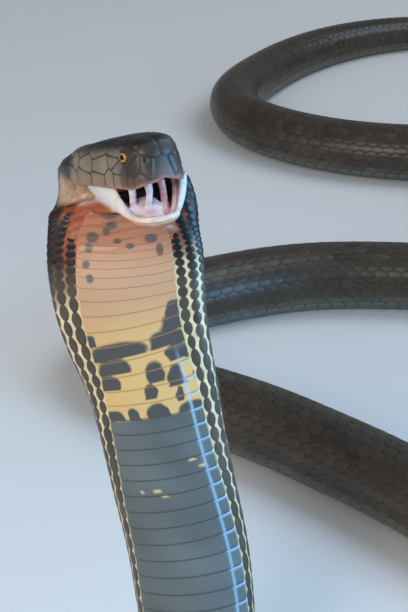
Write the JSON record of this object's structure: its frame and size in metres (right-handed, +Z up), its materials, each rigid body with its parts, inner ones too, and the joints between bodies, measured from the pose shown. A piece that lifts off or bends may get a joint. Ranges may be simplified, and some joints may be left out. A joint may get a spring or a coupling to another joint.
{
  "type": "king cobra",
  "caption": "Life-size still model of a reared king cobra with spread hood and open mouth, its long body winding behind it on the floor.",
  "frame": {"origin": "on the floor, on the flat of the belly where the raised neck comes down to it", "axes": "+Z up, the hood faces -Y, the body winds away towards +Y, and +X is the right of someone who faces the hood"},
  "size_m": [0.631, 1.5763, 0.5288],
  "materials": {
    "head": "satin dark olive head shields",
    "jaw": "satin cream skin",
    "mouth": "wet pink lining",
    "eye": "glossy golden brown with a round pupil",
    "hood": "satin cream and yellow scutes with dark blotches",
    "neck": "satin slate grey scutes with pale edges",
    "body": "satin dark olive brown scales"
  },
  "bodies": {
    "root": {"head_upper": "head", "lower_jaw": "jaw", "mouth_floor": "mouth", "eye_near": "eye", "eye_far": "eye", "hood_top": "hood", "hood_middle": "hood", "hood_lower": "hood", "neck_upper": "neck", "neck_lower": "neck", "neck_bend": "neck", "body_1": "body", "body_2": "body", "body_3": "body", "body_4": "body", "body_5": "body", "body_6": "body", "body_7": "body", "body_8": "body", "body_9": "body", "body_10": "body", "body_11": "body", "tail_1": "body", "tail_2": "body", "tail_3": "body", "tail_tip": "body"}
  },
  "joints": []
}
